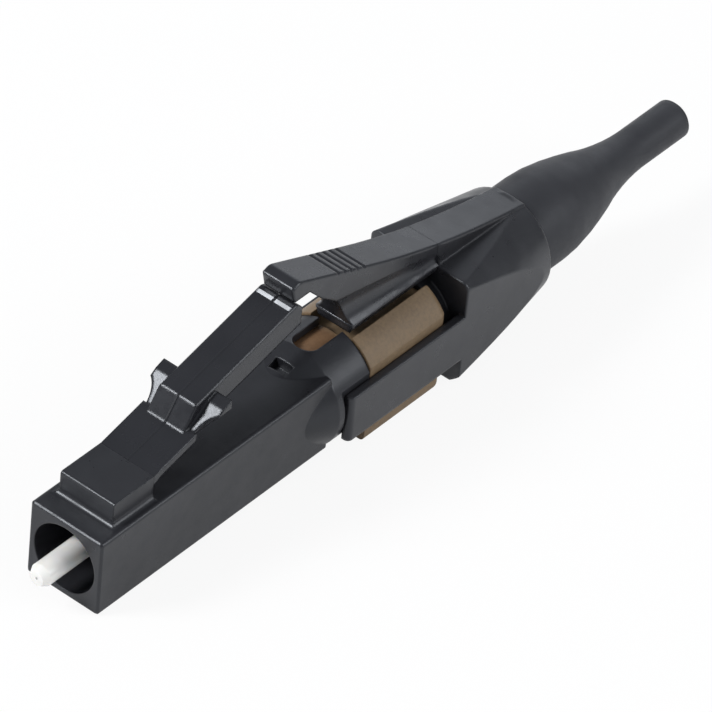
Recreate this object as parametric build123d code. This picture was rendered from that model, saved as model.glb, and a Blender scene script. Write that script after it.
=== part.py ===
from build123d import *
import os

os.makedirs("parts", exist_ok=True)

# LC fibre connector for fitting in the field, with a cam that closes a mechanical splice.
# Millimetres. The fibre's axis is Y and the ferrule points to -Y. +Z is the latch side.
# The origin is on the fibre's axis, in the plane of the plug's front face.

# Plug housing
PLUG_WIDTH = 4.52          # square, what an LC adapter takes
PLUG_EDGE_R = 0.2
SQUARE_END = 16.65         # the square part ends at the flange's rim
BARREL_R = 2.95
BARREL_END = 19.15
FLANGE_LENGTH = 0.4
CONE_START = 14.2          # the cone behind the square starts inside it and grows out of its sides
CONE_START_R = 2.0
RAIL_FLAT_X = 2.6          # flats on the barrel and cam that the rails lie on
FRONT_BORE_R = 1.9
FRONT_BORE_DEPTH = 3.2
SEAT_BORE_R = 1.3
SEAT_Y = 4.0
SPRING_CHAMBER_R = 1.8
CAM_BORE_R = 2.5
CAM_BORE_Y = 15.85
SLOT_WIDTH = 1.45
SLOT_FRONT = 16.65
NOTCH_WIDTH = 1.1
NOTCH_Y = 15.15
NOTCH_LENGTH = 0.6
NOTCH_FLOOR = 2.0

# Latch
ROOT_WIDTH = 3.38
ROOT_FRONT = 1.37
ROOT_TOP = 3.6
ROOT_FOOT_R = 0.33
LATCH_HINGE_Y = 4.2
LATCH_HINGE_Z = 3.1
ARM_WIDTH = 2.3
ARM_END = 15.3
LUG_WIDTH = 4.3
LUG_FRONT = 7.25
LUG_REAR = 9.1
HINGE_GAP = 0.02
MOULD_EDGE = 0.08          # small bevel on the long edges of the arms

# Ferrule, its holder and the splice in it
FERRULE_R = 0.6245         # 1.249 mm ferrule
FERRULE_TIP = -1.95
FERRULE_END = 4.8
FIBRE_R = 0.0625           # 125 micrometre glass
HOLDER_R = 1.3
HOLDER_END = 25.35
HOLDER_FRONT = 3.0
GRIP_GROOVE_R = 0.45       # groove in the ferrule that the holder is moulded into
GRIP_GROOVE_LENGTH = 0.6
RUN_FIT = 0.05
SPLICE_R = 0.85
SPLICE_Y = 15.6
SPLICE_LENGTH = 9.0
LEAD_TUBE_R = 0.8
LEAD_TUBE_END = 31.0
CRIMP_R = 1.2
CRIMP_WALL = 0.2
CRIMP_Y = 25.6
CRIMP_END = 33.6

# Spring
SPRING_WIRE = 0.26
SPRING_MEAN_R = 1.56
SPRING_Y = 5.2
RETAINER_Y = 13.5
SPRING_TURNS = 5

# Cam sleeve
CAM_FIT = 0.05
HEAD_R = 3.05
HEAD_REAR_EDGE_R = 0.45
HEAD_FRONT = BARREL_END + CAM_FIT
HEAD_REAR = 25.05
HEAD_BOTTOM = -3.15
GROOVE_WIDTH = 2.6
GROOVE_FLOOR = 1.85

# Trigger: collar, two rails and the arm
COLLAR_WIDTH = 6.2         # stays inside the 6.25 mm pitch of a duplex pair
COLLAR_TOP = 3.1
COLLAR_BOTTOM = -3.35
COLLAR_Y = 25.87
COLLAR_END = 32.9
COLLAR_REAR_R = 2.98
COLLAR_CORNER_R = 4.2       # out to the rounded corners at the front
COLLAR_HOLE_R = 1.55
RAIL_FRONT = 17.3
RAIL_TOP = 1.05
RAIL_BOTTOM = -1.7
STRAP_WIDTH = 2.0
CREST_Y = 15.1             # the strap's top line falls straight from here, then curves to the rim
CREST_Z = 8.62
CREST_SLOPE = 0.4075
TONGUE_WIDTH = 2.4
TONGUE_TOP = 3.31
TONGUE_BOTTOM = 2.8
TONGUE_FRONT = 19.35
NOSE_Z = 7.53              # underside of the nose, just clear of the latch's end
WEB_X = 0.55               # half the web's thickness at its thinnest, under the nose
WEB_FRONT_R = 1.64
WEB_REAR_R = 0.61
COLLAR_HOLLOW_X = 0.98
GRIP_START = 18.1
GRIP_PITCH = 0.5
GRIP_COUNT = 5

# Boot
BOOT_R = 2.5
BOOT_Y = 28.2
BOOT_END = 46.35
BOOT_SHOULDER_Y = 35.1      # the boot tapers from its shoulder to its waist and on to its tail
BOOT_WAIST_Y = 39.0
BOOT_WAIST_R = 1.78
BOOT_TAIL_Y = 42.7
BOOT_TAIL_R = 1.08
FIBRE_ENTRY_R = 0.5
SOCKET_R = 1.55
SOCKET_END = 35.2


def turned(*points):
    """Solid of revolution about the fibre's axis, from (radius, y) points."""
    outline = make_face(Polyline([(r, y) for r, y in points], close=True))
    return revolve(outline, Axis.Y)


def tube(outer, inner, y0, y1):
    return turned((inner, y0), (outer, y0), (outer, y1), (inner, y1))


def rod(radius, y0, y1):
    return turned((0, y0), (radius, y0), (radius, y1), (0, y1))


def block(x0, x1, y0, y1, z0, z1):
    return Pos((x0 + x1) / 2, (y0 + y1) / 2, (z0 + z1) / 2) * Box(x1 - x0, y1 - y0, z1 - z0)


def across(y):
    """Plane across the axis at y, with its own x along X and its own y along Z."""
    return Plane(origin=(0, y, 0), x_dir=(1, 0, 0), z_dir=(0, -1, 0))


def side_cut(outline, width):
    """Extrude an outline drawn in (y, z) to both sides of the middle plane."""
    face = Plane.YZ * make_face(outline)
    return extrude(face, amount=width / 2, both=True)


def strap():
    """Strap of the trigger from its nose to the collar's rear rim, before the web is hollowed."""
    bend = (20.4, CREST_Z - CREST_SLOPE * (20.4 - CREST_Y))
    last = (COLLAR_END - 0.1, COLLAR_REAR_R - 0.05)
    middle = ((bend[0] + last[0]) / 2, (bend[1] + last[1]) / 2 - 0.39)
    crest = Line((CREST_Y, CREST_Z), bend) + ThreePointArc(bend, middle, last)
    nose = [(CREST_Y, CREST_Z), (14.57, 8.42), (14.78, NOSE_Z), (15.9, NOSE_Z), (16.9, 6.5), (17.85, 5.78)]
    front = ThreePointArc(nose[-1], (18.9, 4.5), (TONGUE_FRONT, TONGUE_TOP - 0.02))
    sunk = [(TONGUE_FRONT, TONGUE_TOP - 0.02), (COLLAR_END - 0.1, TONGUE_TOP - 0.6), last]
    body = side_cut(crest + Polyline(nose) + front + Polyline(sunk), STRAP_WIDTH)
    brow = body.edges().filter_by(Axis.X).filter_by(lambda e: e.center().Z > 8.5)
    body = fillet(brow, 0.5)
    lip = body.edges().filter_by(Axis.X).filter_by(lambda e: 8.3 < e.center().Z < 8.46)
    body = fillet(lip, 0.12)
    rims = body.edges().filter_by(lambda e: abs(e.center().X) > STRAP_WIDTH / 2 - 0.01)
    rims = rims.filter_by(lambda e: e.length > 12 or e.center().Z > NOSE_Z + 0.1)
    return chamfer(rims, MOULD_EDGE)


def plug_housing():
    half = PLUG_WIDTH / 2
    square = extrude(across(0) * RectangleRounded(PLUG_WIDTH, PLUG_WIDTH, PLUG_EDGE_R), amount=-SQUARE_END)
    square = chamfer(square.faces().sort_by(Axis.Y)[0].edges(), 0.1)
    barrel = turned(
        (0, CONE_START),
        (CONE_START_R, CONE_START),
        (BARREL_R, SQUARE_END),
        (BARREL_R, BARREL_END),
        (0, BARREL_END),
    )
    for side in (-1, 1):
        flat = block(RAIL_FLAT_X, 5, SQUARE_END + FLANGE_LENGTH, BARREL_END + 1, -BARREL_R, BARREL_R)
        if side < 0:
            flat = mirror(flat, Plane.YZ)
        barrel -= flat
    # Root of the latch, with a hollow sweep where it stands on the top face
    root = block(-ROOT_WIDTH / 2, ROOT_WIDTH / 2, ROOT_FRONT, LATCH_HINGE_Y, half - 0.5, ROOT_TOP)
    body = square + root
    foot = body.edges().filter_by(lambda e: abs(e.center().Z - half) < 0.01)
    foot = foot.filter_by(lambda e: 0.5 < e.center().Y < LATCH_HINGE_Y - 0.5)
    foot = foot.filter_by(lambda e: abs(e.center().X) < ROOT_WIDTH / 2 + 0.01)
    body = fillet(foot, ROOT_FOOT_R)
    lip = body.edges().filter_by(Axis.X).sort_by(lambda e: -e.center().Z)[0:2]
    body = fillet(lip.sort_by(Axis.Y)[0], 0.15)
    body += barrel
    # Window on top that shows the cam's mark, and the relief in front of it
    slot_r = SLOT_WIDTH / 2
    slot = block(-slot_r, slot_r, SLOT_FRONT + slot_r, BARREL_END + 1, 1.5, BARREL_R + 1)
    slot += Pos(0, SLOT_FRONT + slot_r, 1.5 + BARREL_R / 2) * Cylinder(slot_r, BARREL_R)
    body -= slot
    body -= block(-NOTCH_WIDTH / 2, NOTCH_WIDTH / 2, NOTCH_Y, NOTCH_Y + NOTCH_LENGTH, NOTCH_FLOOR, 4)
    # Bores, from the front
    body -= rod(FRONT_BORE_R, -1, FRONT_BORE_DEPTH)
    body -= rod(SEAT_BORE_R, 0, SEAT_Y + 0.1)
    body -= rod(SPRING_CHAMBER_R, SEAT_Y, CAM_BORE_Y + 0.1)
    body -= rod(CAM_BORE_R, CAM_BORE_Y, BARREL_END + 1)
    # Pockets that the rails' nubs snap into
    for side in (-1, 1):
        pocket = snap_nub()
        if side < 0:
            pocket = mirror(pocket, Plane.YZ)
        body -= pocket
    return body


def snap_nub():
    """Nub on the inside of a rail's front end, and the pocket that it sits in."""
    return block(2.45, RAIL_FLAT_X + 0.06, 17.7, 18.4, -1.3, -0.85)


def latch_arm():
    y0 = LATCH_HINGE_Y + HINGE_GAP
    top = [(y0, ROOT_TOP), (6.83, 4.3), (7.69, 5.54), (14.85, 7.45)]
    end = [(ARM_END, 7.05), (ARM_END, 6.1), (5.0, 3.35), (y0, LATCH_HINGE_Z)]
    whole = side_cut(Polyline(top + end, close=True), ROOT_WIDTH)
    # The wide part is only the ramp: the arm above it and behind it is narrower
    for side in (-1, 1):
        x0, x1 = sorted((side * ARM_WIDTH / 2, side * 3))
        whole -= block(x0, x1, 7.2, 16, 3, 9)
        above = Plane.YZ * make_face(Polyline([(6.83, 4.3), (7.3, 4.43), (7.3, 7), (6.83, 7)], close=True))
        above = extrude(above, amount=x1 - x0)
        whole -= Pos(x0, 0, 0) * above
    edges = whole.edges().filter_by(Axis.X).filter_by(lambda e: e.center().Z > 7).sort_by(Axis.Y)
    whole = fillet(edges[-1], 0.3)
    whole = fillet(whole.edges().filter_by(Axis.X).sort_by(Axis.Z)[-1], 0.25)
    rims = whole.edges().filter_by(lambda e: e.length > 6 and e.center().Z > 6)
    whole = chamfer(rims, MOULD_EDGE)
    return whole + latch_lugs()


def latch_lugs():
    """The two lugs that catch in the adapter: sloped in front, square behind, hollow below."""
    outer = LUG_WIDTH / 2
    inner = ARM_WIDTH / 2 - 0.1
    hollow = ThreePointArc((outer, 5.1), (1.72, 4.78), (1.5, 4.2))
    straight = Polyline([(1.5, 4.2), (inner, 4.2), (inner, 5.9), (outer, 5.9), (outer, 5.1)])
    outline = straight + hollow
    flared = extrude(across(LUG_FRONT - 0.4) * make_face(outline), amount=-(LUG_REAR - LUG_FRONT + 0.4))
    profile = [(LUG_FRONT - 0.3, 4.17), (8.5, 5.37), (LUG_REAR, 5.6), (LUG_REAR, 4.2)]
    wedge = side_cut(Polyline(profile, close=True), LUG_WIDTH + 1)
    right = flared & wedge
    return right + mirror(right, Plane.YZ)


def ferrule():
    body = turned(
        (FIBRE_R, FERRULE_TIP),
        (0.42, FERRULE_TIP),
        (FERRULE_R, FERRULE_TIP + 0.35),
        (FERRULE_R, HOLDER_FRONT),
        (GRIP_GROOVE_R, HOLDER_FRONT),
        (GRIP_GROOVE_R, HOLDER_FRONT + GRIP_GROOVE_LENGTH),
        (FERRULE_R, HOLDER_FRONT + GRIP_GROOVE_LENGTH),
        (FERRULE_R, FERRULE_END),
        (FIBRE_R, FERRULE_END),
    )
    return body


def fibre_stub():
    return rod(FIBRE_R, FERRULE_TIP, SPLICE_Y + SPLICE_LENGTH / 2)


def ferrule_holder():
    """Moulded holder: front boss in the seat, flange on the shoulder, long barrel for the splice."""
    body = turned(
        (GRIP_GROOVE_R, HOLDER_FRONT),
        (SEAT_BORE_R - 0.3, HOLDER_FRONT),
        (SEAT_BORE_R - RUN_FIT, HOLDER_FRONT + 0.3),
        (SEAT_BORE_R - RUN_FIT, SEAT_Y),
        (1.7, SEAT_Y),
        (1.7, SPRING_Y),
        (HOLDER_R, SPRING_Y),
        (HOLDER_R, HOLDER_END),
        (CRIMP_R - CRIMP_WALL, HOLDER_END),
        (CRIMP_R - CRIMP_WALL, 28.4),
        (LEAD_TUBE_R, 28.4),
        (LEAD_TUBE_R, SPLICE_Y + SPLICE_LENGTH),
        (SPLICE_R, SPLICE_Y + SPLICE_LENGTH),
        (SPLICE_R, SPLICE_Y),
        (FIBRE_R, SPLICE_Y - 0.4),
        (FIBRE_R, FERRULE_END),
        (FERRULE_R, FERRULE_END),
        (FERRULE_R, HOLDER_FRONT + GRIP_GROOVE_LENGTH),
        (GRIP_GROOVE_R, HOLDER_FRONT + GRIP_GROOVE_LENGTH),
    )
    window = block(-0.32, 0.32, SPLICE_Y + 1.2, SPLICE_Y + SPLICE_LENGTH - 1.2, -2, -0.5)
    return body - window


def splice_half(side):
    """Half of the splice: a vee in its flat face holds the fibre."""
    y0 = SPLICE_Y
    y1 = SPLICE_Y + SPLICE_LENGTH
    cut = block(-2, 2, y0 - 1, y1 + 1, 0, 2) if side < 0 else block(-2, 2, y0 - 1, y1 + 1, -2, 0)
    half = rod(SPLICE_R, y0, y1) - cut
    return half - rod(FIBRE_R, y0 - 1, y1 + 1)


def splice_upper():
    return splice_half(1)


def splice_lower():
    keel = block(-0.28, 0.28, SPLICE_Y + 1.25, SPLICE_Y + SPLICE_LENGTH - 1.25, -1.25, -0.6)
    return splice_half(-1) + keel


def ferrule_spring():
    height = RETAINER_Y - SPRING_Y - SPRING_WIRE
    path = Helix(pitch=height / SPRING_TURNS, height=height, radius=SPRING_MEAN_R)
    section = Plane(origin=path @ 0, z_dir=path % 0) * RegularPolygon(SPRING_WIRE / 2, 4)
    wire = sweep(section, path=path, is_frenet=True)
    return Pos(0, SPRING_Y + SPRING_WIRE / 2, 0) * Rot(-90, 0, 0) * wire


def spring_retainer():
    bush = turned(
        (HOLDER_R + RUN_FIT, RETAINER_Y),
        (SPRING_CHAMBER_R, RETAINER_Y),
        (SPRING_CHAMBER_R, CAM_BORE_Y),
        (CAM_BORE_R - 0.3, CAM_BORE_Y),
        (CAM_BORE_R - 0.3, CAM_BORE_Y + 0.4),
        (HOLDER_R + RUN_FIT, CAM_BORE_Y + 0.4),
    )
    return bush


def cam_sleeve():
    """Cam: a round front in the barrel and a keyed head that the trigger's rails lock."""
    front = rod(CAM_BORE_R - CAM_FIT, CAM_BORE_Y + 0.4, HEAD_FRONT + 0.2)
    outline = Circle(HEAD_R) + Pos(0, HEAD_BOTTOM / 2) * Rectangle(RAIL_FLAT_X * 2, -HEAD_BOTTOM)
    outline &= Rectangle(RAIL_FLAT_X * 2, 8)
    corners = outline.vertices().filter_by(lambda v: abs(v.Y - HEAD_BOTTOM) < 0.01)
    outline = fillet(corners, 0.3)
    head = extrude(across(HEAD_FRONT) * outline, amount=-(HEAD_REAR - HEAD_FRONT))
    head = fillet(head.faces().sort_by(Axis.Y)[-1].edges(), HEAD_REAR_EDGE_R)
    body = front + head
    body -= block(-GROOVE_WIDTH / 2, GROOVE_WIDTH / 2, HEAD_FRONT, HEAD_REAR + 1, GROOVE_FLOOR, 4)
    return body - rod(HOLDER_R + RUN_FIT, CAM_BORE_Y, HEAD_REAR + 1)


def lead_in_tube():
    tip = turned(
        (0.14, SPLICE_Y + SPLICE_LENGTH),
        (LEAD_TUBE_R, SPLICE_Y + SPLICE_LENGTH),
        (LEAD_TUBE_R, LEAD_TUBE_END),
        (LEAD_TUBE_R - 0.2, LEAD_TUBE_END),
        (0.14, LEAD_TUBE_END - 1.4),
    )
    return tip


def crimp_tube():
    return tube(CRIMP_R, CRIMP_R - CRIMP_WALL, CRIMP_Y, CRIMP_END)


def trigger_collar():
    rear = [(COLLAR_END, COLLAR_REAR_R), (COLLAR_END, -COLLAR_REAR_R)]
    side = [(COLLAR_Y, COLLAR_TOP)] + rear + [(COLLAR_Y, COLLAR_BOTTOM)]
    body = side_cut(Polyline(side, close=True), COLLAR_WIDTH)
    corners = body.edges().filter_by(lambda e: e.length > 7 and abs(e.center().X) > 1)
    body = fillet(corners, 0.45)
    # A cone trims the square to a circle at the rear
    body &= turned(
        (0, COLLAR_Y),
        (COLLAR_CORNER_R, COLLAR_Y),
        (COLLAR_REAR_R, COLLAR_END - 0.12),
        (COLLAR_REAR_R - 0.12, COLLAR_END),
        (0, COLLAR_END),
    )
    # The trigger's strap runs on over the collar
    body += strap() & block(-3, 3, COLLAR_Y, COLLAR_END, 2.6, 9)
    body += tube(2.2, COLLAR_HOLE_R, HEAD_REAR, COLLAR_Y + 0.5)
    body -= rod(COLLAR_HOLE_R, HEAD_REAR - 1, COLLAR_END)
    body -= rod(BOOT_R, BOOT_Y, COLLAR_END + 1)
    for side in (-1, 1):
        piece = rail()
        if side < 0:
            piece = mirror(piece, Plane.YZ)
        body += piece
    return body


def rail():
    """Side rail: it lies on the flats of the cam and the barrel, and snaps on the barrel."""
    inner = RAIL_FLAT_X + 0.05
    outer = COLLAR_WIDTH / 2
    body = block(inner, outer, RAIL_FRONT, COLLAR_Y + 0.5, RAIL_BOTTOM, RAIL_TOP)
    front = body.faces().sort_by(Axis.Y)[0]
    nose = front.edges().filter_by(Axis.Z).sort_by(Axis.X)[-1]
    body = fillet(nose, min(0.3, 0.65 * (outer - inner)))
    return body + snap_nub()


def web_hollow():
    """Hollow on the right of the web: a slim cone from the strap to the tongue that runs out at the rear."""
    start = Vector(WEB_X + WEB_FRONT_R, 17.5, 4.62)
    end = Vector(COLLAR_HOLLOW_X + WEB_REAR_R, COLLAR_Y, 3.78)
    line = end - start
    cone = Cone(WEB_FRONT_R, WEB_REAR_R, line.length, align=(Align.CENTER, Align.CENTER, Align.MIN))
    return Plane(origin=start, z_dir=line) * cone


def trigger_arm():
    """Trigger arm: strap with a nose over the latch, web and tongue. It bends at the collar."""
    rear = COLLAR_Y - HINGE_GAP
    foot = [(19.25, 3.8), (TONGUE_FRONT, TONGUE_TOP - 0.02), (COLLAR_Y, TONGUE_TOP - 0.02), (COLLAR_Y, 3.8)]
    arm = strap() + side_cut(Polyline(foot, close=True), TONGUE_WIDTH)
    hollow = web_hollow()
    arm -= hollow
    arm -= mirror(hollow, Plane.YZ)
    wide = TONGUE_WIDTH / 2
    narrow = wide - 0.2
    top = [(wide, TONGUE_TOP), (-wide, TONGUE_TOP)]
    bottom = [(-narrow, TONGUE_BOTTOM), (narrow, TONGUE_BOTTOM)]
    tongue = make_face(Polyline(top + bottom, close=True))
    body = arm + extrude(across(TONGUE_FRONT) * tongue, amount=-(COLLAR_Y - TONGUE_FRONT))
    body -= block(-4, 4, rear, COLLAR_END + 1, 0, 12)
    for index in range(GRIP_COUNT):
        y = GRIP_START + index * GRIP_PITCH
        z = CREST_Z - CREST_SLOPE * (y - CREST_Y)
        body -= Pos(0, y, z + 0.04) * Rot(0, 90, 0) * Cylinder(0.13, 4)
    return body


def boot():
    shoulder = Polyline(
        (BOOT_R, BOOT_SHOULDER_Y),
        (BOOT_R - 0.07, BOOT_SHOULDER_Y + 1.0),
        (BOOT_R - 0.26, BOOT_SHOULDER_Y + 2.1),
        (BOOT_R - 0.5, BOOT_SHOULDER_Y + 3.1),
        (BOOT_WAIST_R, BOOT_WAIST_Y),
    )
    bend = (BOOT_TAIL_R + 0.21, BOOT_WAIST_Y + 1.8)
    waist = ThreePointArc((BOOT_WAIST_R, BOOT_WAIST_Y), bend, (BOOT_TAIL_R, BOOT_TAIL_Y))
    rest = Polyline([
        (BOOT_TAIL_R, BOOT_TAIL_Y),
        (BOOT_TAIL_R, BOOT_END - 0.15),
        (BOOT_TAIL_R - 0.15, BOOT_END),
        (FIBRE_ENTRY_R, BOOT_END),
        (FIBRE_ENTRY_R, SOCKET_END + 1.2),
        (SOCKET_R, SOCKET_END),
        (SOCKET_R, BOOT_Y),
        (BOOT_R, BOOT_Y),
        (BOOT_R, BOOT_SHOULDER_Y),
    ])
    return revolve(make_face(shoulder + waist + rest), Axis.Y)


PARTS = {
    "plug_housing": plug_housing,
    "latch_arm": latch_arm,
    "ferrule": ferrule,
    "fibre_stub": fibre_stub,
    "ferrule_holder": ferrule_holder,
    "splice_upper": splice_upper,
    "splice_lower": splice_lower,
    "ferrule_spring": ferrule_spring,
    "spring_retainer": spring_retainer,
    "cam_sleeve": cam_sleeve,
    "lead_in_tube": lead_in_tube,
    "crimp_tube": crimp_tube,
    "trigger_collar": trigger_collar,
    "trigger_arm": trigger_arm,
    "boot": boot,
}

for name, make in PARTS.items():
    export_step(make(), f"parts/{name}.step")
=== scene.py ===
import bmesh
import bpy
import math
from mathutils import Matrix, Vector

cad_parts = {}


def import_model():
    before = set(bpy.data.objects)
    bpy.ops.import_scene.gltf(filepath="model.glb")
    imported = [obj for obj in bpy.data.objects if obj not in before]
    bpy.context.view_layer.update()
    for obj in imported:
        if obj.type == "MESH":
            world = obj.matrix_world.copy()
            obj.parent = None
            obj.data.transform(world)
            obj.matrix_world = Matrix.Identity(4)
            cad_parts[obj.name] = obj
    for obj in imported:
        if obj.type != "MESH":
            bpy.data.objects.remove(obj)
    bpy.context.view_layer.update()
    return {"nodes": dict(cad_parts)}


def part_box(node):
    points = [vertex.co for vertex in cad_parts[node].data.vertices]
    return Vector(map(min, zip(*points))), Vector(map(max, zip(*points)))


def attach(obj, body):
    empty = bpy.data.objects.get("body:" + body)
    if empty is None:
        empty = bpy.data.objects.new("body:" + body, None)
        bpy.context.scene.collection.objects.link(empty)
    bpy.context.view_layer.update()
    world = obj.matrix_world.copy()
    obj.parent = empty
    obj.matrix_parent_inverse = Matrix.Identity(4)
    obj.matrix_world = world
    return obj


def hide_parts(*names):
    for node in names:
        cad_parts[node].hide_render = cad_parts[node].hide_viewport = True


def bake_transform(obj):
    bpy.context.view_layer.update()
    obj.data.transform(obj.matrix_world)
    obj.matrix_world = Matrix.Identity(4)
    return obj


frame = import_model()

MM = 0.001

# Places on the object, in mm
TRIGGER_BEND = (25.86, 3.35)       # (y, z) where the trigger's arm leaves the collar
LATCH_BEND = (4.21, 3.1)           # (y, z) where the latch leaves its root
TRIGGER_ARM_END = 25.85            # flat ends of the two arms, each 0.01 mm short of its bend
LATCH_ARM_END = 4.22
LATCH_LIP = (14.32, 14.54)         # along Y, where the lip at the latch's end rises
CAM_PAINTED_SHADE_END = (18.9, 19.3)            # along Y, where the painted shade on the cam's front gives way to the head's own tan
PLUG_FLOOR = -2.26                 # underside of the plug


# ---------- materials ----------

# Noise scales, in cycles per metre
CLOUDS, SHINE, WAVES, GRAIN = 260.0, 900.0, 420.0, 9000.0


class Nodes:
    """Small helper round a material's node tree."""

    def __init__(self, name):
        self.material = bpy.data.materials.new(name)
        self.material.use_nodes = True
        self.tree = self.material.node_tree
        self.tree.nodes.clear()
        self.out = self.add("ShaderNodeOutputMaterial")

    def add(self, kind, **values):
        node = self.tree.nodes.new(kind)
        for key, value in values.items():
            setattr(node, key, value)
        return node

    def link(self, a, b):
        self.tree.links.new(a, b)

    def place(self):
        return self.add("ShaderNodeTexCoord").outputs["Object"]

    def parts(self, vector):
        """The vector's X, Y and Z outputs."""
        split = self.add("ShaderNodeSeparateXYZ")
        self.link(vector, split.inputs[0])
        return split.outputs

    def math(self, operation, *terms):
        """Result of a math node, whose terms are outputs or numbers."""
        node = self.add("ShaderNodeMath", operation=operation)
        for socket, term in zip(node.inputs, terms):
            if isinstance(term, (int, float)):
                socket.default_value = term
            else:
                self.link(term, socket)
        return node.outputs[0]

    def stretched(self, scale):
        mapping = self.add("ShaderNodeMapping")
        mapping.inputs["Scale"].default_value = scale
        self.link(self.place(), mapping.inputs["Vector"])
        return mapping.outputs["Vector"]

    def noise(self, scale, detail=2.0, rough=0.5, where=None):
        node = self.add("ShaderNodeTexNoise")
        node.inputs["Scale"].default_value = scale
        node.inputs["Detail"].default_value = detail
        node.inputs["Roughness"].default_value = rough
        self.link(where if where is not None else self.place(), node.inputs["Vector"])
        return node.outputs["Fac"]

    def span(self, value, low, high, start=0.0, end=1.0):
        """value from start to end, mapped to low to high."""
        node = self.add("ShaderNodeMapRange")
        self.link(value, node.inputs["Value"])
        node.inputs["From Min"].default_value = start
        node.inputs["From Max"].default_value = end
        node.inputs["To Min"].default_value = low
        node.inputs["To Max"].default_value = high
        return node.outputs["Result"]

    def ramp(self, value, dark, light):
        """The colour dark where value is under 0.3, and light where it is over 0.7."""
        node = self.add("ShaderNodeValToRGB")
        for element, place, colour in zip(node.color_ramp.elements, (0.3, 0.7), (dark, light)):
            element.position = place
            element.color = (*colour, 1.0)
        self.link(value, node.inputs["Fac"])
        return node.outputs["Color"]

    def bump(self, height, distance, below):
        node = self.add("ShaderNodeBump")
        node.inputs["Distance"].default_value = distance
        node.inputs["Strength"].default_value = 1.0
        self.link(height, node.inputs["Height"])
        self.link(below, node.inputs["Normal"])
        return node.outputs["Normal"]

    def edges(self, radius, bend=None):
        """Rounded edges. They stay sharp at a bend, so that the two nodes of one moulding read as one."""
        node = self.add("ShaderNodeBevel", samples=8)
        node.inputs["Radius"].default_value = radius
        if bend:
            place = self.parts(self.place())
            away = self.math("ABSOLUTE", self.math("SUBTRACT", place["Y"], bend[0] * MM))
            along = self.span(away, 0.0, radius, 0.2 * MM, 0.5 * MM)
            low = self.span(place["Z"], radius, 0.0, (bend[1] - 0.2) * MM, bend[1] * MM)
            self.link(self.math("MAXIMUM", along, low), node.inputs["Radius"])
        return node.outputs["Normal"]

    def middle_line(self, half):
        """1 on the middle plane, falling to 0 at half to each side."""
        away = self.math("ABSOLUTE", self.parts(self.place())["X"])
        return self.span(away, 1.0, 0.0, 0.0, half)

    def lip(self, start, end):
        """0 to 1 between two places along Y, on faces that look up."""
        rise = self.span(self.parts(self.place())["Y"], 0.0, 1.0, start, end)
        facing = self.parts(self.add("ShaderNodeTexCoord").outputs["Normal"])
        top = self.span(facing["Z"], 0.0, 1.0, 0.8, 0.85)
        return self.math("MULTIPLY", rise, top)

    def shader(self, **values):
        node = self.add("ShaderNodeBsdfPrincipled")
        for key, value in values.items():
            node.inputs[key.replace("_", " ")].default_value = value
        self.link(node.outputs["BSDF"], self.out.inputs["Surface"])
        return node


def moulded(name, dark, light, rough_low, rough_high, edge=0.09 * MM, grain=0.0012 * MM, level=0.5,
            latch=False, bend=None):
    """Moulded plastic: a faint mottle, fine grain and soft edges. The latch also has a seam and an end lip."""
    m = Nodes(name)
    shader = m.shader(IOR=1.5, Specular_IOR_Level=level, Specular_Tint=(0.9, 0.94, 1.0, 1.0))
    m.link(m.ramp(m.noise(CLOUDS, 3.0, 0.55), dark, light), shader.inputs["Base Color"])
    shine = m.noise(SHINE, 3.0, 0.6)
    m.link(m.span(shine, rough_low, rough_high, 0.3, 0.7), shader.inputs["Roughness"])
    normal = m.edges(edge, bend)
    normal = m.bump(m.noise(GRAIN), grain, normal)
    normal = m.bump(m.noise(WAVES), 0.003 * MM, normal)
    if latch:
        start, end = LATCH_LIP
        normal = m.bump(m.middle_line(0.08 * MM), 0.035 * MM, normal)
        normal = m.bump(m.lip(start * MM, end * MM), 0.12 * MM, normal)
    m.link(normal, shader.inputs["Normal"])
    return m.material


def tan_plastic():
    """Matte tan plastic, speckled with fine grain, with painted shade in front of the cam's head: darker and
    redder there, where the strap and latch arm shade it.
    """
    m = Nodes("cam_plastic")
    shader = m.shader(IOR=1.5, Specular_IOR_Level=0.35)
    speck = m.noise(5200.0, 3.0, 0.7)
    cloud = m.noise(500.0)
    shade = m.math("MULTIPLY_ADD", speck, 0.7, m.span(cloud, 0.0, 0.3))
    head = m.ramp(shade, (0.142, 0.098, 0.056), (0.238, 0.168, 0.100))
    # Painted shade: a darker, redder copy of the tan for the cam's front, which sits in the shade of the strap
    # and latch arm
    front = m.ramp(shade, (0.13, 0.072, 0.036), (0.19, 0.11, 0.058))
    mix = m.add("ShaderNodeMix", data_type="RGBA")
    start, end = CAM_PAINTED_SHADE_END
    past_painted_shade = m.span(m.parts(m.place())["Y"], 0.0, 1.0, start * MM, end * MM)
    m.link(past_painted_shade, mix.inputs["Factor"])
    m.link(front, mix.inputs["A"])
    m.link(head, mix.inputs["B"])
    m.link(mix.outputs["Result"], shader.inputs["Base Color"])
    m.link(m.span(speck, 0.42, 0.6, 0.3, 0.7), shader.inputs["Roughness"])
    m.link(m.bump(speck, 0.006 * MM, m.edges(0.09 * MM)), shader.inputs["Normal"])
    return m.material


def ceramic():
    """White ceramic, with faint rings from its grinding."""
    m = Nodes("ferrule_ceramic")
    shader = m.shader(IOR=1.6, Roughness=0.22, Subsurface_Weight=0.35, Subsurface_Scale=0.0008,
                      Subsurface_Radius=(1.0, 0.85, 0.7))
    base = m.ramp(m.noise(SHINE), (0.80, 0.79, 0.76), (0.87, 0.86, 0.84))
    m.link(base, shader.inputs["Base Color"])
    rings = m.noise(1.0, where=m.stretched((300.0, 14000.0, 300.0)))
    m.link(m.bump(rings, 0.0006 * MM, m.edges(0.05 * MM)), shader.inputs["Normal"])
    return m.material


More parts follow.
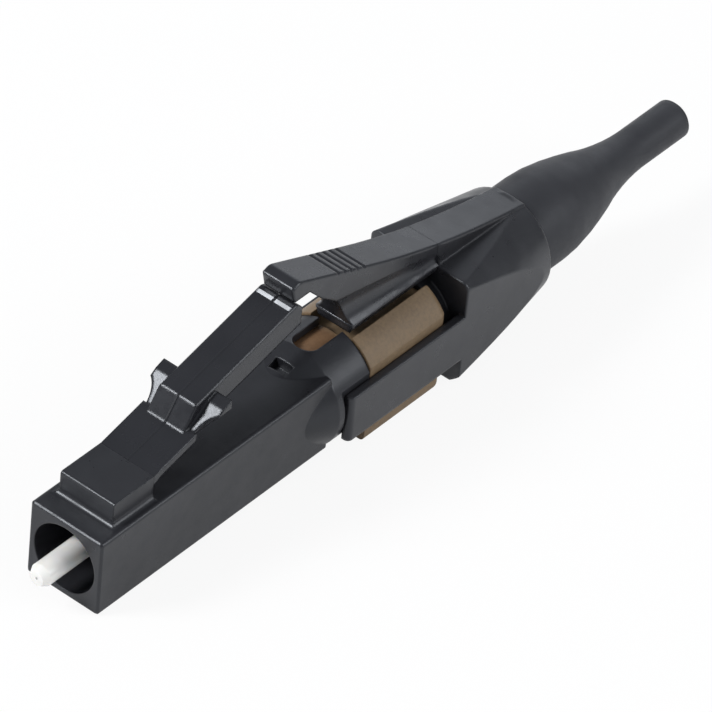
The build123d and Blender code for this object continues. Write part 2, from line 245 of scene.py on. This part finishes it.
def metal(name, colour, rough, along):
    """Bare metal, whose fine lines are the noise stretched by along."""
    m = Nodes(name)
    shader = m.shader(Metallic=1.0)
    lines = m.noise(1.0, 3.0, 0.6, m.stretched(along))
    dim = tuple(c * 0.8 for c in colour)
    m.link(m.ramp(lines, dim, colour), shader.inputs["Base Color"])
    m.link(m.span(lines, rough * 0.75, rough * 1.25, 0.3, 0.7), shader.inputs["Roughness"])
    m.link(m.bump(lines, 0.002 * MM, m.edges(0.04 * MM)), shader.inputs["Normal"])
    return m.material


def fibre_glass():
    m = Nodes("fibre_glass")
    shader = m.shader(IOR=1.46, Roughness=0.04, Transmission_Weight=0.6)
    cloud = m.noise(3000.0, 1.0)
    m.link(m.ramp(cloud, (0.72, 0.78, 0.8), (0.85, 0.89, 0.9)), shader.inputs["Base Color"])
    return m.material


BLACK = (0.0135, 0.0138, 0.0165), (0.0195, 0.020, 0.0235)
# Painted light: a lighter copy of the black for the trigger's collar, which is one moulding with the trigger's
# arm
COLLAR_BLACK_LIT = (0.017, 0.0173, 0.020), (0.023, 0.0233, 0.027)
BOOT_GREY = (0.0245, 0.025, 0.029), (0.035, 0.036, 0.041)
HOLDER_BROWN = (0.10, 0.065, 0.045), (0.14, 0.095, 0.065)
NATURAL = (0.50, 0.49, 0.45), (0.60, 0.59, 0.55)

plug_black = moulded("plug_plastic", *BLACK, 0.27, 0.40, 0.12 * MM, 0.0024 * MM, 0.45, bend=LATCH_BEND)
latch_black = moulded("latch_plastic", *BLACK, 0.20, 0.30, 0.2 * MM, 0.0014 * MM, 0.45, True, LATCH_BEND)
trigger_black = moulded("trigger_plastic", *BLACK, 0.24, 0.34, 0.18 * MM, 0.002 * MM, bend=TRIGGER_BEND)
collar_black = moulded("collar_plastic", *COLLAR_BLACK_LIT, 0.26, 0.36, 0.2 * MM, 0.002 * MM, 0.55,
                       bend=TRIGGER_BEND)
boot_grey = moulded("boot_rubber", *BOOT_GREY, 0.44, 0.56, 0.6 * MM, 0.003 * MM, 0.35)
lip_black = moulded("lip_plastic", *BLACK, 0.16, 0.24, 0.02 * MM, 0.0006 * MM)
holder_brown = moulded("holder_plastic", *HOLDER_BROWN, 0.45, 0.6)
natural = moulded("splice_plastic", *NATURAL, 0.35, 0.5)

FINISH = {
    "plug_housing": plug_black,
    "spring_retainer": plug_black,
    "latch_arm": latch_black,
    "trigger_collar": collar_black,
    "trigger_arm": trigger_black,
    "boot": boot_grey,
    "cam_sleeve": tan_plastic(),
    "ferrule": ceramic(),
    "fibre_stub": fibre_glass(),
    "ferrule_holder": holder_brown,
    "splice_upper": natural,
    "splice_lower": natural,
    "lead_in_tube": natural,
    "crimp_tube": metal("crimp_metal", (0.74, 0.73, 0.7), 0.3, (300.0, 9000.0, 300.0)),
    "ferrule_spring": metal("spring_steel", (0.6, 0.6, 0.61), 0.25, (4000.0, 4000.0, 4000.0)),
}
for name, finish in FINISH.items():
    node = frame["nodes"][name]
    if not node.material_slots:
        node.data.materials.append(finish)
    for slot in node.material_slots:
        slot.material = finish


# ---------- pieces that the CAD model leaves to this script ----------

def ringed_piece(name, points, sides, finish, smooth):
    """A closed piece, whose skin runs through rings of that many points and has a cap at each end."""
    faces = [tuple(range(sides)), tuple(reversed(range(len(points) - sides, len(points))))]
    for first in range(0, len(points) - sides, sides):
        second = first + sides
        for k in range(sides):
            n = (k + 1) % sides
            faces.append((first + n, first + k, second + k, second + n))
    mesh = bpy.data.meshes.new(name)
    mesh.from_pydata(points, [], faces)
    work = bmesh.new()
    work.from_mesh(mesh)
    bmesh.ops.recalc_face_normals(work, faces=work.faces)
    bmesh.ops.triangulate(work, faces=[f for f in work.faces if len(f.verts) > 4])
    work.to_mesh(mesh)
    work.free()
    for face in mesh.polygons:
        face.use_smooth = smooth
    obj = bpy.data.objects.new(name, mesh)
    bpy.context.collection.objects.link(obj)
    obj.data.materials.append(finish)
    return obj


def plate_lip():
    """Rounded bead along the front edge of the plate under the strap."""
    centre_y, centre_z, radius = 19.43, 3.23, 0.13
    sides = 12
    # (x, share of the radius): the ends taper
    steps = [(-1.2, 0.55), (-1.17, 0.85), (-1.1, 1.0), (1.1, 1.0), (1.17, 0.85), (1.2, 0.55)]
    points = []
    for x, share in steps:
        for k in range(sides):
            turn = 2 * math.pi * k / sides
            y = centre_y + radius * share * math.cos(turn)
            z = centre_z + radius * share * math.sin(turn)
            points.append((x * MM, y * MM, z * MM))
    obj = ringed_piece("plate_lip", points, sides, lip_black, True)
    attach(obj, "trigger")


def coil_spring():
    """The ferrule's spring, of round wire with closed end coils."""
    turns, around, sides = 7, 40, 10
    wire, mean = 0.13 * MM, 1.56 * MM
    low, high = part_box("ferrule_spring")
    first, last = low[1] + 1.05 * wire, high[1] - 1.05 * wire
    closed = 2.04 * wire
    spread = (last - first - 2 * closed) / (turns - 2)
    points = []
    for s in range(turns * around + 1):
        turn = s / around
        in_front = min(turn, 1.0)
        between = min(max(turn - 1.0, 0.0), turns - 2)
        behind = max(turn - turns + 1, 0.0)
        y = first + closed * (in_front + behind) + spread * between
        angle = 2 * math.pi * turn
        out = Vector((math.cos(angle), 0, math.sin(angle)))
        for k in range(sides):
            b = 2 * math.pi * k / sides
            points.append(out * (mean + wire * math.cos(b)) + Vector((0, y + wire * math.sin(b), 0)))
    obj = ringed_piece("spring_coils", points, sides, FINISH["ferrule_spring"], True)
    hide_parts("ferrule_spring")
    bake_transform(obj)


def end_outline(node, y):
    """Points of the outline of a node's flat end at y, in order, as (x, z)."""
    work = bmesh.new()
    work.from_mesh(frame["nodes"][node].data)
    bmesh.ops.remove_doubles(work, verts=work.verts, dist=0.0005 * MM)
    flat = {f for f in work.faces if all(abs(v.co.y - y) < 0.002 * MM for v in f.verts)}
    rim = [e for e in work.edges if sum(f in flat for f in e.link_faces) == 1]
    follow = {}
    for edge in rim:
        a, b = edge.verts
        follow.setdefault(a.index, []).append(b.index)
        follow.setdefault(b.index, []).append(a.index)
    work.verts.ensure_lookup_table()
    order = [rim[0].verts[0].index]
    while True:
        ahead = [i for i in follow[order[-1]] if i not in order[-2:] and i != order[0]]
        if not ahead:
            break
        order.append(ahead[0])
    points = [(work.verts[i].co.x, work.verts[i].co.z) for i in order]
    work.free()
    return points


def inset(points, depth):
    """The closed outline moved inwards by depth."""
    area = sum(a[0] * b[1] - b[0] * a[1] for a, b in zip(points, points[1:] + points[:1]))
    if area < 0:
        points = points[::-1]
    moved = []
    for i, here in enumerate(points):
        past, ahead = Vector(points[i - 1]), Vector(points[(i + 1) % len(points)])
        here = Vector(here)
        one = (here - past).normalized()
        two = (ahead - here).normalized()
        one, two = Vector((-one.y, one.x)), Vector((-two.y, two.x))
        normal = (one + two).normalized()
        share = max(0.4, normal.dot(one))
        moved.append(here + normal * (depth / share))
    return moved


def living_hinge(name, node, face, y, finish):
    """A fixed piece that fills the joint between the two nodes of one moulding, where the real moulding bends.
    """
    outline = inset(end_outline(node, face * MM), 0.02 * MM)
    steps = [-0.07, -0.045, -0.03, -0.015, 0.0, 0.015, 0.03, 0.045, 0.07]
    points = [(p.x, (y + step) * MM, p.y) for step in steps for p in outline]
    obj = ringed_piece(name, points, len(outline), finish, False)
    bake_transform(obj)


plate_lip()
coil_spring()
living_hinge("trigger_bend", "trigger_arm", TRIGGER_ARM_END, TRIGGER_BEND[0], lip_black)
living_hinge("latch_bend", "latch_arm", LATCH_ARM_END, LATCH_BEND[0], lip_black)


# ---------- floor, background and lights ----------

def floor():
    """Pale floor under the plug's front edge and whatever else reaches lowest behind it."""
    front = Vector((0.0, 0.0, PLUG_FLOOR * MM))
    shown = [v.co for node in frame["nodes"].values() for v in node.data.vertices if v.co.y > MM]
    slope = max((front.z - place.z) / place.y for place in shown)
    along = Vector((0.0, 1.0, -slope)).normalized()
    gap = Vector((0, 0, 0.01 * MM))
    half = 1.2
    points = []
    for x, y in ((-1, -1), (1, -1), (1, 1), (-1, 1)):
        points.append(front + Vector((x * half, 0, 0)) + along * (y * half) - gap)
    mesh = bpy.data.meshes.new("floor")
    mesh.from_pydata(points, [], [(0, 1, 2, 3)])
    obj = bpy.data.objects.new("floor", mesh)
    bpy.context.collection.objects.link(obj)
    # White to the camera, dimmer in reflections, and plain diffuse to the rest
    m = Nodes("floor_white")
    diffuse = m.add("ShaderNodeBsdfDiffuse")
    diffuse.inputs["Color"].default_value = (0.9, 0.9, 0.9, 1)
    glow = m.add("ShaderNodeEmission")
    glow.inputs["Strength"].default_value = 1.0
    path = m.add("ShaderNodeLightPath").outputs
    mirrored = m.math("MAXIMUM", path["Is Glossy Ray"], path["Is Transmission Ray"])
    dimmed = m.math("MULTIPLY", mirrored, 0.42)
    seen = m.math("MULTIPLY", path["Is Camera Ray"], 0.9)
    mix = m.add("ShaderNodeMixShader")
    m.link(m.math("MAXIMUM", seen, dimmed), mix.inputs["Fac"])
    m.link(diffuse.outputs["BSDF"], mix.inputs[1])
    m.link(glow.outputs["Emission"], mix.inputs[2])
    m.link(mix.outputs["Shader"], m.out.inputs["Surface"])
    obj.data.materials.append(m.material)


def world():
    """Soft grey light that grows with height, and white to the camera."""
    w = bpy.data.worlds.new("studio")
    bpy.context.scene.world = w
    w.use_nodes = True
    tree = w.node_tree
    tree.nodes.clear()
    out = tree.nodes.new("ShaderNodeOutputWorld")
    soft = tree.nodes.new("ShaderNodeBackground")
    soft.inputs["Strength"].default_value = 0.45
    white = tree.nodes.new("ShaderNodeBackground")
    white.inputs["Color"].default_value = (1, 1, 1, 1)
    white.inputs["Strength"].default_value = 1.0
    mix = tree.nodes.new("ShaderNodeMixShader")
    path = tree.nodes.new("ShaderNodeLightPath")
    coord = tree.nodes.new("ShaderNodeTexCoord")
    split = tree.nodes.new("ShaderNodeSeparateXYZ")
    ramp = tree.nodes.new("ShaderNodeValToRGB")
    low, high = ramp.color_ramp.elements
    low.position, low.color = 0.12, (0.46, 0.48, 0.52, 1)
    high.position, high.color = 0.45, (0.60, 0.62, 0.66, 1)
    top = ramp.color_ramp.elements.new(0.62)
    top.color = (0.74, 0.765, 0.81, 1)
    tree.links.new(coord.outputs["Generated"], split.inputs[0])
    tree.links.new(split.outputs["Z"], ramp.inputs["Fac"])
    tree.links.new(ramp.outputs["Color"], soft.inputs["Color"])
    tree.links.new(path.outputs["Is Camera Ray"], mix.inputs["Fac"])
    tree.links.new(soft.outputs[0], mix.inputs[1])
    tree.links.new(white.outputs[0], mix.inputs[2])
    tree.links.new(mix.outputs[0], out.inputs["Surface"])


TARGET = Vector((0.0, 15.0 * MM, 1.0 * MM))


def lamp(name, toward, distance, width, height, power, colour=(1, 1, 1)):
    """Area lamp that looks at TARGET from the direction toward."""
    data = bpy.data.lights.new(name, "AREA")
    data.shape = "RECTANGLE"
    data.size = width
    data.size_y = height
    data.energy = power
    data.color = colour
    obj = bpy.data.objects.new(name, data)
    bpy.context.collection.objects.link(obj)
    obj.location = TARGET + Vector(toward).normalized() * distance
    obj.rotation_euler = (TARGET - obj.location).to_track_quat("-Z", "Y").to_euler()


floor()
world()
lamp("key", (-0.45, -0.60, 0.65), 0.5, 0.15, 0.15, 2.1)
lamp("back", (-0.45, 0.85, 0.30), 0.6, 0.5, 0.3, 0.46, (0.93, 0.96, 1.0))
lamp("side", (0.78, 0.38, 0.50), 0.6, 0.3, 0.3, 1.6)


# ---------- camera ----------

# Fitted to the plug's square front: angles in degrees, places in mm, focal length in pixels
AZIMUTH, ELEVATION, ROLL = 36.5462, 41.1329, 5.6842
SHIFT_X, SHIFT_Y, DISTANCE = 13.77, 9.5535, 377.3567
FOCAL, IMAGE_WIDTH, SENSOR_WIDTH = 8000.0, 712.0, 36.0


def camera():
    a, e, roll = math.radians(AZIMUTH), math.radians(ELEVATION), math.radians(ROLL)
    back = Vector((math.sin(a) * math.cos(e), -math.cos(a) * math.cos(e), math.sin(e)))
    right = Vector((math.cos(a), math.sin(a), 0.0))
    up = back.cross(right)
    c, s = math.cos(roll), math.sin(roll)
    x = c * right + s * up
    y = -s * right + c * up
    centre = (SHIFT_X * x + SHIFT_Y * y + DISTANCE * back) * MM
    data = bpy.data.cameras.new("photo")
    data.sensor_width = SENSOR_WIDTH
    data.lens = FOCAL / IMAGE_WIDTH * SENSOR_WIDTH
    data.clip_start = 0.02
    data.clip_end = 20.0
    obj = bpy.data.objects.new("photo", data)
    bpy.context.collection.objects.link(obj)
    turn = Matrix((x, y, back)).transposed().to_4x4()
    obj.matrix_world = Matrix.Translation(centre) @ turn
    bpy.context.scene.camera = obj


camera()
bpy.context.scene.view_settings.view_transform = "Standard"
